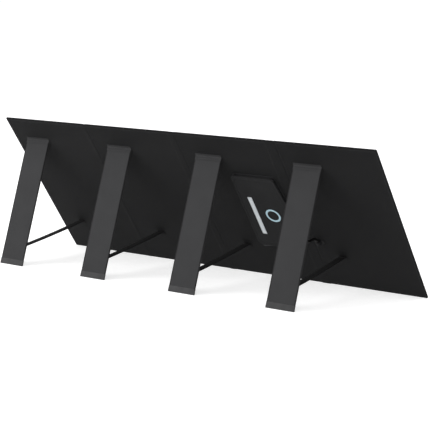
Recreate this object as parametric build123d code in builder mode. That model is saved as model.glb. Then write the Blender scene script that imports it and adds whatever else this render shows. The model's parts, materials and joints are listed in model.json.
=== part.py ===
"""Folding solar panel: four framed sections on sewn folds, each propped by its own back stand.

Frame: +Z up, X along the length, the cells face -Y and up, the back and its stands face +Y.
The origin is on the ground, at the middle of the part's box. All sizes are in millimetres.
Sections are numbered 1 to 4 from +X to -X, which is left to right as seen from behind.
"""
from build123d import *
from math import cos, radians, sin, tan
import os

os.makedirs("parts", exist_ok=True)

# Whole panel, opened out
panel_length = 1340.0
panel_height = 574.0
panel_tilt = 52.26          # degrees from the ground up to the panel
stand_spread = 55.13        # degrees between the panel and an open stand

# Folds. The panel rolls up from section 1, so the sections inside the roll are a little narrower.
section_widths = [322.5, 325.5, 327.0, 327.0]
tight_fold = 1.5            # between sections 1 and 2, which close face to face
inner_spine = 12.5          # between sections 2 and 3, room for section 1 and its stand
outer_spine = 24.0          # between sections 3 and 4, room for sections 1 and 2 and their stands
spine_play = 0.4
fold_gaps = [tight_fold, inner_spine, outer_spine]

# Layers of a section, from the back face (height 0) to the front
back_fabric_t = 1.0
board_t = 2.5
laminate_t = 0.7
cell_t = 0.3
border_t = 1.5
section_t = back_fabric_t + board_t + border_t
board_inset = 2.5           # the board stops inside the fabric's edge
border_w = 20.0             # fabric border around the laminate

# Solar cells, pseudo-square wafers
cell_side = 125.0
cell_corner = 9.0
cell_gap = 3.0
cell_columns = 2
cell_rows = 4

# Stands
stand_offsets = [66.9, 59.8, 63.9, 76.8]    # stand centre from its section's centre, along +X
stand_width = 93.0
stand_t = 4.0
hinge_v = 488.0             # hinge height along the panel
hinge_depth = 3.0           # hinge axis behind the back face
stand_top = 3.0             # the stand starts this far below its hinge axis
binding_w = 3.0
foot_start = 392.0
foot_end = 410.0            # cut off level with the ground
band_height = 11.0
band_start = 489.5
band_t = 1.6

# Tethers that stop each stand
tether_width = 25.0
tether_t = 1.2
tether_panel_v = 132.0
tether_stand_d = 351.0
tab_width = 32.0
tab_height = 26.0
tab_t = 0.6
tether_clear = 0.1

# Zipped pocket on the back of section 3, its shallow point towards the outer spine
pocket_hinge_x = -147.0
pocket_corner_x = -295.0
pocket_tip_x = -316.0
pocket_low_v = 147.0
pocket_high_v = 432.0
pocket_chamfer = 12.0
pocket_wall = 1.4
pocket_depth = 10.0
cover_t = 1.2
zip_t = 0.8
zip_w = 4.0
slider_length = 11.0
slider_width = 4.0
slider_height = 5.0
slider_start_x = -166.0
slider_clear = 0.3
pull_length = 16.0
pull_width = 4.0
pull_t = 1.4

# Junction box inside the pocket
box_x = -222.0
box_v = 310.0
box_length = 92.0
box_width = 60.0
box_height = 6.4
box_lid_t = 1.2
box_corner = 5.0
gland_r = 2.6
gland_length = 14.0
gland_nut_r = 3.1
gland_nut_length = 5.0

# Carry handle on the back of section 4
handle_x = -366.0
handle_r = 4.5
handle_axis_depth = 6.6
handle_low_v = 176.0
handle_tab_length = 15.0
handle_tab_width = 20.0
handle_bore_r = 4.8
handle_strap_t = 1.8
handle_patch_length = 34.0
handle_patch_t = 0.9
# The lower half of the handle's middle line: height along the panel, depth behind the hinge axis
handle_points = [(176.0, 0.0), (195.0, 0.0), (214.0, 10.0), (230.0, 38.0), (254.0, 49.0)]
handle_bends = [14.0, 26.0, 26.0, 26.0]

# Derived places
tilt = radians(panel_tilt)
lean = radians(180.0 - panel_tilt - stand_spread)
hinge_rise = hinge_v * sin(tilt) - hinge_depth * cos(tilt)
hinge_run = hinge_v * cos(tilt) + hinge_depth * sin(tilt)
foot_rise = hinge_rise + stand_t / 2 * cos(lean)
foot_run = hinge_run + stand_t / 2 * sin(lean) + foot_rise / tan(lean)
front_run = -section_t * sin(tilt)
base_y = -(foot_run + front_run) / 2
half_height = panel_height / 2

# In the panel plane: x along the length, y up the panel, z out of the front. z is 0 at the back.
panel = Plane(origin=(0, base_y, 0), x_dir=(1, 0, 0), z_dir=(0, -sin(tilt), cos(tilt)))
# In the stand plane: y from the hinge down to the foot, z outwards from the stand's middle.
stand_plane = Plane(
    origin=(0, base_y + hinge_run, hinge_rise),
    x_dir=(1, 0, 0),
    z_dir=(0, sin(lean), cos(lean)),
)


def section_spans():
    """Low and high x of each section, working down from the +X end."""
    spans = []
    high = panel_length / 2
    for width, gap in zip(section_widths, fold_gaps + [0.0]):
        spans.append((high - width, high))
        high = high - width - gap
    return spans


def save(piece, name):
    """Label a finished piece and write it."""
    piece.part.label = name
    export_step(piece.part, f"parts/{name}.step")


def make_board(number, middle, width):
    """Stiff board that fills the section behind the laminate."""
    with BuildPart() as board:
        with BuildSketch(panel.offset(back_fabric_t)):
            with Locations((middle, half_height)):
                Rectangle(width - 2 * board_inset, panel_height - 2 * board_inset)
        extrude(amount=board_t)
    save(board, f"section_{number}_board")


def make_back_fabric(number, middle, width):
    """Woven cover of the back, turned up round the board's edges to meet the front border."""
    with BuildPart() as back:
        with BuildSketch(panel):
            with Locations((middle, half_height)):
                Rectangle(width, panel_height)
        extrude(amount=back_fabric_t + board_t)
        with BuildSketch(panel.offset(back_fabric_t)):
            with Locations((middle, half_height)):
                Rectangle(width - 2 * board_inset, panel_height - 2 * board_inset)
        extrude(amount=board_t, mode=Mode.SUBTRACT)
    save(back, f"section_{number}_back_fabric")


def make_front_border(number, middle, width):
    """Fabric frame sewn round the laminate."""
    with BuildPart() as border:
        with BuildSketch(panel.offset(back_fabric_t + board_t)):
            with Locations((middle, half_height)):
                Rectangle(width, panel_height)
                Rectangle(width - 2 * border_w, panel_height - 2 * border_w, mode=Mode.SUBTRACT)
        extrude(amount=border_t)
    save(border, f"section_{number}_front_border")


def make_laminate(number, middle, width):
    """Sheet that carries the cells."""
    with BuildPart() as laminate:
        with BuildSketch(panel.offset(back_fabric_t + board_t)):
            with Locations((middle, half_height)):
                Rectangle(width - 2 * border_w, panel_height - 2 * border_w)
        extrude(amount=laminate_t)
    save(laminate, f"section_{number}_laminate")


def make_cells(number, middle):
    """Grid of wafers with clipped corners, each a separate solid."""
    pitch = cell_side + cell_gap
    with BuildPart() as cells:
        with BuildSketch(panel.offset(back_fabric_t + board_t + laminate_t)) as wafers:
            with Locations((middle, half_height)):
                with GridLocations(pitch, pitch, cell_columns, cell_rows):
                    Rectangle(cell_side, cell_side)
            chamfer(wafers.vertices(), cell_corner)
        extrude(amount=cell_t)
    save(cells, f"section_{number}_cells")


def make_section(number, low, high):
    """All the layers of one section."""
    middle = (low + high) / 2
    width = high - low
    make_board(number, middle, width)
    make_back_fabric(number, middle, width)
    make_front_border(number, middle, width)
    make_laminate(number, middle, width)
    make_cells(number, middle)


def make_stand_board(number, stand_x):
    """Fabric-covered board of the stand, inside its edge binding."""
    with BuildPart() as board:
        with BuildSketch(stand_plane.offset(-stand_t / 2)):
            with Locations((stand_x, (stand_top + foot_start) / 2)):
                Rectangle(stand_width - 2 * binding_w, foot_start - stand_top - 2 * binding_w)
        extrude(amount=stand_t)
    save(board, f"stand_{number}_board")


def make_stand_binding(number, stand_x):
    """Tape that binds the four edges of the stand board."""
    with BuildPart() as binding:
        with BuildSketch(stand_plane.offset(-stand_t / 2)):
            with Locations((stand_x, (stand_top + foot_start) / 2)):
                Rectangle(stand_width, foot_start - stand_top)
                Rectangle(
                    stand_width - 2 * binding_w,
                    foot_start - stand_top - 2 * binding_w,
                    mode=Mode.SUBTRACT,
                )
        extrude(amount=stand_t)
    save(binding, f"stand_{number}_binding")


def make_stand_foot(number, stand_x):
    """Rubber end of the stand, cut level with the ground."""
    with BuildPart() as foot:
        with BuildSketch(stand_plane.offset(-stand_t / 2)):
            with Locations((stand_x, (foot_start + foot_end) / 2)):
                Rectangle(stand_width, foot_end - foot_start)
        extrude(amount=stand_t)
        split(bisect_by=Plane.XY, keep=Keep.TOP)
    save(foot, f"stand_{number}_foot")


def make_hinge_band(number, stand_x):
    """Folded fabric strip that hangs the stand, sewn across the back above it."""
    with BuildPart() as band:
        with BuildSketch(panel.offset(-band_t)):
            with Locations((stand_x, band_start + band_height / 2)):
                Rectangle(stand_width, band_height)
        extrude(amount=band_t)
    save(band, f"stand_{number}_hinge_band")


def make_tether_tab(number, stand_x):
    """Patch under the tether's end on the panel."""
    with BuildPart() as tab:
        with BuildSketch(panel.offset(-tab_t)):
            with Locations((stand_x, tether_panel_v)):
                Rectangle(tab_width, tab_height)
        extrude(amount=tab_t)
    save(tab, f"tether_{number}_tab")


def make_tether(number, stand_x):
    """Webbing pulled tight between the panel's back and the stand's inner face."""
    start = panel.from_local_coords((0, tether_panel_v, -tab_t - tether_clear))
    end = stand_plane.from_local_coords((0, tether_stand_d, -stand_t / 2 - tether_clear))
    across = Vector(*stand_plane.y_dir) * tether_t
    along = Vector(*panel.y_dir) * tether_t
    with BuildPart() as tether:
        with BuildSketch(Plane.YZ.offset(stand_x - tether_width / 2)):
            with BuildLine():
                Polyline(
                    (start.Y, start.Z),
                    (start.Y + along.Y, start.Z + along.Z),
                    (end.Y - across.Y, end.Z - across.Z),
                    (end.Y, end.Z),
                    close=True,
                )
            make_face()
        extrude(amount=tether_width)
    save(tether, f"tether_{number}")


def make_stand(number, low, high):
    """A stand with its hinge band, foot and tether."""
    stand_x = (low + high) / 2 + stand_offsets[number - 1]
    make_stand_board(number, stand_x)
    make_stand_binding(number, stand_x)
    make_stand_foot(number, stand_x)
    make_hinge_band(number, stand_x)
    make_tether_tab(number, stand_x)
    make_tether(number, stand_x)


def make_tight_fold(low, high):
    """Fabric that joins sections 1 and 2 across their fold."""
    with BuildPart() as seam:
        with BuildSketch(panel):
            with Locations(((low + high) / 2, half_height)):
                Rectangle(high - low, panel_height)
        extrude(amount=back_fabric_t)
    save(seam, "fold_12_fabric")


def make_spine(name, low, high):
    """Flexible strip between two sections: a foam core in a fabric sleeve."""
    width = high - low - 2 * spine_play
    core_width = width - 2 * back_fabric_t
    middle = ((low + high) / 2, half_height)
    with BuildPart() as sleeve:
        with BuildSketch(panel):
            with Locations(middle):
                Rectangle(width, panel_height)
        extrude(amount=section_t)
        with BuildSketch(panel.offset(back_fabric_t)):
            with Locations(middle):
                Rectangle(core_width, panel_height)
        extrude(amount=section_t - 2 * back_fabric_t, mode=Mode.SUBTRACT)
    save(sleeve, f"{name}_fabric")
    with BuildPart() as core:
        with BuildSketch(panel.offset(back_fabric_t)):
            with Locations(middle):
                Rectangle(core_width, panel_height - 2 * board_inset)
        extrude(amount=section_t - 2 * back_fabric_t)
    save(core, f"{name}_core")


def pocket_corners(inset):
    """Corners of the pocket's outline: a straight hinge side and a shallow point opposite."""
    left = pocket_hinge_x - inset
    corner = pocket_corner_x + inset
    tip = pocket_tip_x + inset
    low = pocket_low_v + inset
    high = pocket_high_v - inset
    return [
        (left, low + pocket_chamfer),
        (left, high - pocket_chamfer),
        (left - pocket_chamfer, high),
        (corner, high),
        (tip, (low + high) / 2),
        (corner, low),
        (left - pocket_chamfer, low),
    ]


def make_pocket_walls():
    """Side wall that lifts the pocket cover off the panel."""
    with BuildPart() as walls:
        with BuildSketch(panel.offset(-pocket_depth + cover_t + zip_t)):
            with BuildLine():
                Polyline(*pocket_corners(0.0), close=True)
            make_face()
        extrude(amount=pocket_depth - cover_t - zip_t)
        with BuildSketch(panel.offset(-pocket_depth + cover_t + zip_t)):
            with BuildLine():
                Polyline(*pocket_corners(pocket_wall), close=True)
            make_face()
        extrude(amount=pocket_depth - cover_t - zip_t, mode=Mode.SUBTRACT)
    save(walls, "pocket_walls")


def make_pocket_zip():
    """Zip that runs round the rim, between the walls and the cover."""
    with BuildPart() as chain:
        with BuildSketch(panel.offset(-pocket_depth + cover_t)):
            with BuildLine():
                Polyline(*pocket_corners(0.0), close=True)
            make_face()
        extrude(amount=zip_t)
        with BuildSketch(panel.offset(-pocket_depth + cover_t)):
            with BuildLine():
                Polyline(*pocket_corners(zip_w), close=True)
            make_face()
        extrude(amount=zip_t, mode=Mode.SUBTRACT)
    save(chain, "pocket_zip")


def make_pocket_cover():
    """Face of the pocket, which opens like a page about its straight side."""
    with BuildPart() as cover:
        with BuildSketch(panel.offset(-pocket_depth)):
            with BuildLine():
                Polyline(*pocket_corners(0.0), close=True)
            make_face()
        extrude(amount=cover_t)
    save(cover, "pocket_cover")


def make_zip_slider():
    """Slider on the zip's lower run, with its pull lying along the wall."""
    slider_v = pocket_low_v - slider_clear - slider_width / 2
    slider_low = -pocket_depth + cover_t / 2
    with BuildPart() as slider:
        with BuildSketch(panel.offset(slider_low)) as base:
            with Locations((slider_start_x, slider_v)):
                Rectangle(slider_length, slider_width)
            chamfer(base.vertices(), slider_width / 4)
        extrude(amount=slider_height)
        pull_x = slider_start_x - slider_length / 2 - pull_length / 2
        with BuildSketch(panel.offset(slider_low + slider_height / 2)):
            with Locations((pull_x, slider_v)):
                SlotOverall(pull_length + 2 * slider_clear, pull_width)
        extrude(amount=pull_t)
        bridge_x = slider_start_x - slider_length / 2
        with BuildSketch(panel.offset(slider_low + slider_height / 2)):
            with Locations((bridge_x, slider_v)):
                Rectangle(pull_width, pull_width / 2)
        extrude(amount=pull_t)
    save(slider, "pocket_zip_slider")


def make_junction_box():
    """Moulded box on the panel's back where the cells' leads meet, with its lid."""
    with BuildPart() as box:
        with BuildSketch(panel.offset(-box_height)):
            with Locations((box_x, box_v)):
                RectangleRounded(box_length, box_width, box_corner)
        extrude(amount=box_height)
    save(box, "junction_box")
    with BuildPart() as lid:
        with BuildSketch(panel.offset(-box_height - box_lid_t)):
            with Locations((box_x, box_v)):
                RectangleRounded(box_length, box_width, box_corner)
        extrude(amount=box_lid_t)
        chamfer(lid.faces().sort_by(Axis(panel.origin, panel.z_dir))[0].edges(), box_lid_t / 3)
    save(lid, "junction_box_lid")


def make_gland():
    """Outlet of the junction box, with its clamping nut."""
    middle = panel.from_local_coords((box_x, box_v - box_width / 2, -box_height / 2))
    outlet = Plane(origin=middle, x_dir=(1, 0, 0), z_dir=-Vector(*panel.y_dir))
    with BuildPart() as gland:
        with BuildSketch(outlet):
            Circle(gland_r)
        extrude(amount=gland_length)
        with BuildSketch(outlet.offset(gland_length - gland_nut_length)):
            RegularPolygon(gland_nut_r, 6)
        extrude(amount=gland_nut_length)
    save(gland, "output_gland")


def make_handle():
    """Rubber hoop whose two straight ends turn in webbing loops."""
    def path_point(v, depth):
        return panel.from_local_coords((handle_x, v, -handle_axis_depth - depth))

    lower = [path_point(v, depth) for v, depth in handle_points]
    upper = [path_point(panel_height - v, depth) for v, depth in reversed(handle_points)]
    with BuildPart() as handle:
        with BuildLine() as hoop:
            FilletPolyline(*lower, *upper, radius=handle_bends + handle_bends[::-1])
        with BuildSketch(Plane(origin=hoop.line @ 0, z_dir=hoop.line % 0)):
            Circle(handle_r)
        sweep()
    save(handle, "carry_handle")


def make_handle_loops():
    """Two webbing loops, each wrapped round one end of the handle and sewn down on a patch."""
    first = handle_low_v + handle_tab_length / 2
    centres = [first, panel_height - first]
    outer_r = handle_bore_r + handle_strap_t
    with BuildPart() as loops:
        for centre in centres:
            foot = panel.from_local_coords((handle_x, centre - handle_tab_length / 2, -handle_axis_depth))
            ring = Plane(origin=foot, x_dir=(1, 0, 0), z_dir=panel.y_dir)
            with BuildSketch(ring):
                Circle(outer_r)
            extrude(amount=handle_tab_length)
            with BuildSketch(panel.offset(-handle_patch_t)):
                with Locations((handle_x, centre)):
                    Rectangle(handle_tab_width, handle_patch_length)
            extrude(amount=handle_patch_t)
        for centre in centres:
            foot = panel.from_local_coords((handle_x, centre - handle_tab_length, -handle_axis_depth))
            ring = Plane(origin=foot, x_dir=(1, 0, 0), z_dir=panel.y_dir)
            with BuildSketch(ring):
                Circle(handle_bore_r)
            extrude(amount=2 * handle_tab_length, mode=Mode.SUBTRACT)
        split(bisect_by=panel, keep=Keep.BOTTOM)
    save(loops, "handle_loops")


spans = section_spans()
for index, (low, high) in enumerate(spans):
    make_section(index + 1, low, high)
    make_stand(index + 1, low, high)
make_tight_fold(spans[1][1], spans[0][0])
make_spine("spine_23", spans[2][1], spans[1][0])
make_spine("spine_34", spans[3][1], spans[2][0])
make_pocket_walls()
make_pocket_zip()
make_pocket_cover()
make_zip_slider()
make_junction_box()
make_gland()
make_handle()
make_handle_loops()
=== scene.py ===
import bpy
import json
import math
from collections import namedtuple

import numpy as np
from bpy.props import FloatProperty, FloatVectorProperty, IntProperty, PointerProperty
from mathutils import Matrix, Vector


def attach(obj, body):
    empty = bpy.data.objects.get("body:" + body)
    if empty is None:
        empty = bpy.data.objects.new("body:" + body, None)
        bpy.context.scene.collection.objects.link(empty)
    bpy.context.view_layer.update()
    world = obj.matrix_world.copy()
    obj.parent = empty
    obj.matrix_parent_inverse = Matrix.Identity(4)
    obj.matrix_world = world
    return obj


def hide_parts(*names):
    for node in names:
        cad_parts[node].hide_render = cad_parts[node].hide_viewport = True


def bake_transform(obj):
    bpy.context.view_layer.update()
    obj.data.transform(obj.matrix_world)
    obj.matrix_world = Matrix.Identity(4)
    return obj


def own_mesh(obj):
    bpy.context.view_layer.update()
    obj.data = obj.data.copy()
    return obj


bl_info = {
    "name": "Folding Solar Panel",
    "version": (1, 0, 0),
    "blender": (4, 5, 0),
    "location": "View3D > Sidebar > Solar Panel",
    "description": "Builds a standing four-section folding solar panel around its frame",
    "category": "Add Mesh",
}

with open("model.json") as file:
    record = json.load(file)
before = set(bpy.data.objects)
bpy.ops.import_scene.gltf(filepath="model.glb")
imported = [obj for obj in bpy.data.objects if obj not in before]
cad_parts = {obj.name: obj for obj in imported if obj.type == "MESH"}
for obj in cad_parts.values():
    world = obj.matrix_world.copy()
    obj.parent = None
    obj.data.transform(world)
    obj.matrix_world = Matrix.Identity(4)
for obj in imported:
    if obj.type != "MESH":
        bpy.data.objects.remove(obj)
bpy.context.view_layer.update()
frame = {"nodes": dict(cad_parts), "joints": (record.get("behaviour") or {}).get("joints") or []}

MM = 0.001
SECTIONS = (1, 2, 3, 4)
JOINTS = {joint["name"]: joint for joint in frame["joints"]}

# ---------------------------------------------------------------- places in the frame

# A place is an origin and three unit axes. Local points are (x, y, z) along those axes, in metres.
Place = namedtuple("Place", "origin axes")
# A shape is its vertices, its faces as arrays of vertex numbers, and a flat (u, v) in metres.
Shape = namedtuple("Shape", "vertices faces uv")
ACROSS = np.array((1.0, 0.0, 0.0))


def to_world(place, local):
    """Local points as points of the frame."""
    return place.origin + np.asarray(local, float) @ place.axes


def node_points(name):
    """A node's vertices, as rows."""
    mesh = frame["nodes"][name].data
    flat = np.empty(len(mesh.vertices) * 3, np.float32)
    mesh.vertices.foreach_get("co", flat)
    return flat.reshape(-1, 3).astype(float)


def local_box(place, name):
    """Lowest and highest corner of a node, measured along a place's axes."""
    local = (node_points(name) - place.origin) @ place.axes.T
    return local.min(0), local.max(0)


def panel_place():
    """x along the panel, y up it, z out of the cells' side, from the lower edge of the back face."""
    up = np.array(JOINTS["section_4_fold"]["axis"])
    up = up / np.linalg.norm(up)
    front = np.cross(ACROSS, up)
    cover = node_points("section_3_back_fabric")
    origin = up * (cover @ up).min() + front * (cover @ front).min()
    return Place(origin, np.array((ACROSS, up, front)))


def stand_place(number):
    """x along the panel, y from the hinge down the stand, z outwards from the stand's middle."""
    hinge = np.array(JOINTS[f"stand_{number}_hinge"]["pos_m"])
    board = node_points(f"stand_{number}_board")
    down = (board.min(0) + board.max(0)) / 2 - hinge
    down = down / np.linalg.norm(down)
    origin = hinge * (0.0, 1.0, 1.0)
    return Place(origin, np.array((ACROSS, down, np.cross(ACROSS, down))))


PANEL = panel_place()
STANDS = {number: stand_place(number) for number in SECTIONS}
PANEL_HEIGHT = local_box(PANEL, "section_3_back_fabric")[1][1]
TILT = math.atan2(PANEL.axes[1][2], PANEL.axes[1][1])

# ---------------------------------------------------------------- settings and materials


def linear(colour):
    """An sRGB hex colour as linear red, green and blue."""
    values = [int(colour[i : i + 2], 16) / 255 for i in (1, 3, 5)]
    return tuple(c / 12.92 if c <= 0.04045 else ((c + 0.055) / 1.055) ** 2.4 for c in values)


class SolarPanelSettings(bpy.types.PropertyGroup):
    """Sizes and colours of the panel that a user would change."""

    cover_colour: FloatVectorProperty(
        name="Cover", description="Woven cover of the back", subtype="COLOR",
        default=linear("#0f0f10"), min=0.0, max=1.0)
    stand_colour: FloatVectorProperty(
        name="Stands", description="Woven face of the stands", subtype="COLOR",
        default=linear("#353536"), min=0.0, max=1.0)
    pocket_colour: FloatVectorProperty(
        name="Pocket", description="Pressed face of the pocket", subtype="COLOR",
        default=linear("#1a1a1b"), min=0.0, max=1.0)
    label_colour: FloatVectorProperty(
        name="Label", description="Blank woven label on the pocket", subtype="COLOR",
        default=linear("#c7cccf"), min=0.0, max=1.0)
    hem_width: FloatProperty(
        name="Hem", description="Width of the turned hem round each section", unit="LENGTH",
        default=9 * MM, min=4 * MM, max=20 * MM)
    stitch_pitch: FloatProperty(
        name="Stitch pitch", description="Distance from one stitch to the next", unit="LENGTH",
        default=4.2 * MM, min=2 * MM, max=8 * MM)
    ribbon_count: IntProperty(
        name="Cell ribbons", description="Ribbons soldered along each cell", default=9, min=2, max=16)
    tether_sag: FloatProperty(
        name="Tether sag", description="Dip in the middle of a tether", unit="LENGTH",
        default=2.5 * MM, min=0.0, max=20 * MM)
    key_power: FloatProperty(
        name="Key light", description="Power of the large soft light", unit="POWER",
        default=90.0, min=0.0, max=2000.0)
    sky_strength: FloatProperty(
        name="Studio fill", description="Brightness of the white studio round the panel",
        default=1.02, min=0.0, max=5.0)


def settings():
    """The settings of this scene."""
    return bpy.context.scene.solar_panel


def add_node(tree, kind, inputs=None, **sets):
    """Adds a node with its properties. Each input, by name or number, takes a value or a socket."""
    node = tree.nodes.new(kind)
    for name, value in sets.items():
        setattr(node, name, value)
    for name, value in (inputs or {}).items():
        if isinstance(value, bpy.types.NodeSocket):
            tree.links.new(value, node.inputs[name])
        else:
            node.inputs[name].default_value = value
    return node


def new_material(name, colour, roughness, **shader_sets):
    """A material with one Principled shader; returns it with its tree and shader."""
    material = bpy.data.materials.new(name)
    material.use_nodes = True
    tree = material.node_tree
    shader = tree.nodes["Principled BSDF"]
    shader.inputs["Base Color"].default_value = (*colour, 1.0)
    shader.inputs["Roughness"].default_value = roughness
    for key, value in shader_sets.items():
        shader.inputs[key.replace("_", " ")].default_value = value
    material.diffuse_color = (*colour, 1.0)
    return material, tree, shader


def cloth_threads(tree, pitch):
    """The piece's flat cloth map, and its two directions counted in threads pitch apart."""
    flat = add_node(tree, "ShaderNodeUVMap", uv_map="cloth").outputs["UV"]
    counted = add_node(tree, "ShaderNodeMapping", {"Vector": flat, "Scale": [1 / pitch] * 3})
    parts = add_node(tree, "ShaderNodeSeparateXYZ", {"Vector": counted.outputs["Vector"]})
    return flat, parts.outputs["X"], parts.outputs["Y"]


def thread_sine(tree, count):
    """The sine of half a turn for each thread: it changes sign from one thread to the next."""
    turn = add_node(tree, "ShaderNodeMath", {0: count, 1: math.pi}, operation="MULTIPLY")
    return add_node(tree, "ShaderNodeMath", {0: turn.outputs[0]}, operation="SINE").outputs[0]


def thread_wave(tree, count):
    """A wave that is 1 on the crown of each thread and 0 between two threads."""
    wave = thread_sine(tree, count)
    return add_node(tree, "ShaderNodeMath", {0: wave}, operation="ABSOLUTE").outputs[0]


def weave_height(tree, across, along):
    """Plain weave: over one thread and under the next, by the sign of the two thread sines."""
    signs = {0: thread_sine(tree, across), 1: thread_sine(tree, along)}
    product = add_node(tree, "ShaderNodeMath", signs, operation="MULTIPLY").outputs[0]
    over = add_node(
        tree, "ShaderNodeMath", {0: product, 1: 0.0}, operation="GREATER_THAN").outputs[0]
    pick = add_node(
        tree, "ShaderNodeMix",
        {0: over, 2: thread_wave(tree, along), 3: thread_wave(tree, across)}, data_type="FLOAT")
    return pick.outputs[0]


def stretched(tree, value, low, high, from_low=0.0, from_high=1.0):
    """A value spread evenly between two others."""
    spread = add_node(
        tree, "ShaderNodeMapRange",
        {"Value": value, "From Min": from_low, "From Max": from_high, "To Min": low, "To Max": high})
    return spread.outputs["Result"]


def mottle(tree, coordinates, size, low, high):
    """Soft patches between two brightness factors, about size metres across."""
    noise = add_node(
        tree, "ShaderNodeTexNoise", {"Vector": coordinates, "Scale": 1 / size, "Detail": 3.0})
    return stretched(tree, noise.outputs[0], low, high, 0.3, 0.7)


def shade_by(tree, shader, colour, *factors):
    """Sends the colour to the shader, made lighter and darker by each factor in turn."""
    shaded = colour
    for factor in factors:
        node = add_node(
            tree, "ShaderNodeVectorMath", {"Vector": shaded, "Scale": factor}, operation="SCALE")
        shaded = node.outputs["Vector"]
    tree.links.new(shaded, shader.inputs["Base Color"])


def bump_by(tree, shader, height, distance, strength):
    """Bumps the shader's normal by a height, whose full range is distance metres."""
    bump = add_node(
        tree, "ShaderNodeBump", {"Height": height, "Strength": strength, "Distance": distance})
    tree.links.new(bump.outputs["Normal"], shader.inputs["Normal"])


def woven_polyester(name, colour, pitch, patch):
    """Woven polyester with a thin coating: matt, with an even grain of threads, painted shade between them,
    and slow blotches.

    Real yarn is about 0.5 mm apart; it is drawn coarser, at pitch, so that it shows at all."""
    material, tree, shader = new_material(
        name, colour, 0.84, Sheen_Weight=0.03, Sheen_Roughness=0.5, Specular_IOR_Level=0.10)
    flat, across, along = cloth_threads(tree, pitch)
    height = weave_height(tree, across, along)
    blotches = mottle(tree, flat, 60 * MM, 1 - patch, 1 + patch)
    # Painted shade: the colour is darker between the threads and lighter on their crowns, following the
    # weave's height.
    shade_by(tree, shader, colour, stretched(tree, height, 0.65, 1.2), blotches)
    bump_by(tree, shader, height, 0.30 * MM, 0.8)
    return material


def ribbed_tape(name, colour, rib, roughness=0.8):
    """Webbing or grosgrain: rounded ribs across the tape, split by finer yarns along it."""
    material, tree, shader = new_material(
        name, colour, roughness, Sheen_Weight=0.03, Sheen_Roughness=0.4, Specular_IOR_Level=0.15)
    flat, across, along = cloth_threads(tree, rib)
    ribs = stretched(tree, thread_wave(tree, along), 0.0, 0.7)
    yarns = stretched(tree, thread_wave(tree, across), 0.0, 0.3)
    height = add_node(tree, "ShaderNodeMath", {0: ribs, 1: yarns}, operation="ADD").outputs[0]
    worn = mottle(tree, flat, 40 * MM, 0.93, 1.07)
    # Painted highlights and shade: the colour is lighter on the ribs' crowns and darker between them,
    # following their height.
    shade_by(tree, shader, colour, stretched(tree, height, 0.75, 1.1), worn)
    bump_by(tree, shader, height, 0.25 * MM, 0.7)
    return material


def grained(name, colour, roughness, grain, depth, **shader_sets):
    """Moulded or cast surface: fine even grain from the mould and slow changes in its dullness."""
    material, tree, shader = new_material(name, colour, roughness, **shader_sets)
    place = add_node(tree, "ShaderNodeTexCoord").outputs["Object"]
    fine = add_node(tree, "ShaderNodeTexNoise", {"Vector": place, "Scale": 1 / grain, "Detail": 4.0})
    rubbed = mottle(tree, place, 18 * MM, roughness - 0.08, roughness + 0.08)
    tree.links.new(rubbed, shader.inputs["Roughness"])
    shade_by(tree, shader, colour, mottle(tree, place, 35 * MM, 0.9, 1.1))
    bump_by(tree, shader, fine.outputs[0], depth, 0.5)
    return material


def panel_coordinates(tree):
    """Object coordinates turned to lie in the panel: x along it, y up it."""
    place = add_node(tree, "ShaderNodeTexCoord").outputs["Object"]
    turned = add_node(tree, "ShaderNodeMapping", {"Vector": place, "Rotation": (-TILT, 0.0, 0.0)})
    return turned.outputs["Vector"]


def film_bump(tree, shader, coordinates):
    """The dimples pressed into fluoropolymer film, 1.6 mm apart, under a clear gloss."""
    dimples = add_node(
        tree, "ShaderNodeTexVoronoi",
        {"Vector": coordinates, "Scale": 1 / (1.6 * MM), "Randomness": 0.35})
    bump_by(tree, shader, dimples.outputs["Distance"], 0.10 * MM, 0.35)


def silicon_cell():
    """Monocrystalline silicon under film: blue-black and nearly even, with faint finger lines."""
    colour = linear("#10152a")
    material, tree, shader = new_material(
        "monocrystalline silicon under film", colour, 0.42,
        Coat_Weight=0.25, Coat_Roughness=0.25, Specular_IOR_Level=0.3)
    flat = panel_coordinates(tree)
    parts = add_node(tree, "ShaderNodeSeparateXYZ", {"Vector": flat})
    # Printed fingers are 1.5 mm apart; drawn at 3 mm so that they show.
    count = add_node(
        tree, "ShaderNodeMath", {0: parts.outputs["Y"], 1: 1 / (3.0 * MM)}, operation="MULTIPLY")
    crown = thread_wave(tree, count.outputs[0])
    line = add_node(tree, "ShaderNodeMath", {0: crown, 1: 0.16}, operation="LESS_THAN").outputs[0]
    shade_by(
        tree, shader, colour, stretched(tree, line, 1.0, 1.5), mottle(tree, flat, 90 * MM, 0.85, 1.15))
    film_bump(tree, shader, flat)
    return material


def backsheet():
    """Black backsheet under the same film: near black, satin, dimpled."""
    colour = linear("#0c0c0e")
    material, tree, shader = new_material(
        "black backsheet under film", colour, 0.5, Coat_Weight=0.2, Coat_Roughness=0.3,
        Specular_IOR_Level=0.25)
    flat = panel_coordinates(tree)
    shade_by(tree, shader, colour, mottle(tree, flat, 70 * MM, 0.88, 1.12))
    film_bump(tree, shader, flat)
    return material


def tinned_ribbon():
    """Tinned copper ribbon: soft grey metal, dulled by the film over it."""
    material, tree, shader = new_material(
        "tinned copper ribbon", linear("#8f9296"), 0.42, Metallic=0.9)
    place = add_node(tree, "ShaderNodeTexCoord").outputs["Object"]
    tree.links.new(mottle(tree, place, 6 * MM, 0.34, 0.5), shader.inputs["Roughness"])
    return material


def glass_fibre():
    """Glass-fibre board: dull straw yellow with uneven fibres."""
    colour = linear("#b8ab7d")
    material, tree, shader = new_material("glass-fibre board", colour, 0.6)
    flat = panel_coordinates(tree)
    shade_by(tree, shader, colour, mottle(tree, flat, 4 * MM, 0.85, 1.1))
    return material


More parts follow.
